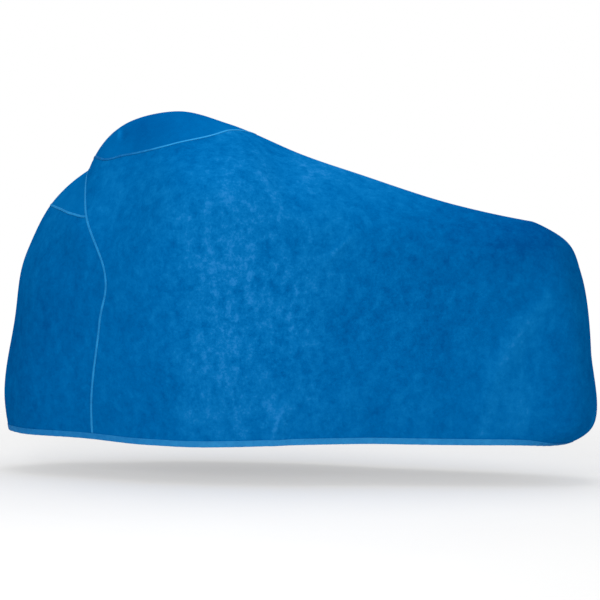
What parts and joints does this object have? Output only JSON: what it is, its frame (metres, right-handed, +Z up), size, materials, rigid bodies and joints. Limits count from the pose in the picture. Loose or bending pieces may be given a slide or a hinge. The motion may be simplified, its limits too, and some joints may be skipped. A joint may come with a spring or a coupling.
{
  "type": "motorcycle cover",
  "caption": "Fitted blue stretch cloth cover that drapes over a motorcycle with a tall screen, with taped seams over the front and crown and an elastic bound hem.",
  "frame": {"origin": "inner side of the crown panel at its highest point, where the cover rests on what it covers", "axes": "+X from the front of the cover to its tail, +Z up, -Y the left side that the picture shows"},
  "size_m": [2.3579, 0.9586, 1.2845],
  "materials": {
    "cloth": "napped stretch cloth, matte with a soft sheen",
    "trim": "lighter woven elastic tape, matte"
  },
  "bodies": {
    "root": {"crown_panel": "cloth", "nose_panel": "cloth", "front_panel": "cloth", "side_panel_left": "cloth", "side_panel_right": "cloth", "front_seam_tape": "trim", "nose_seam_tape": "trim", "crown_seam_tape": "trim", "hem_binding": "trim"}
  },
  "joints": []
}
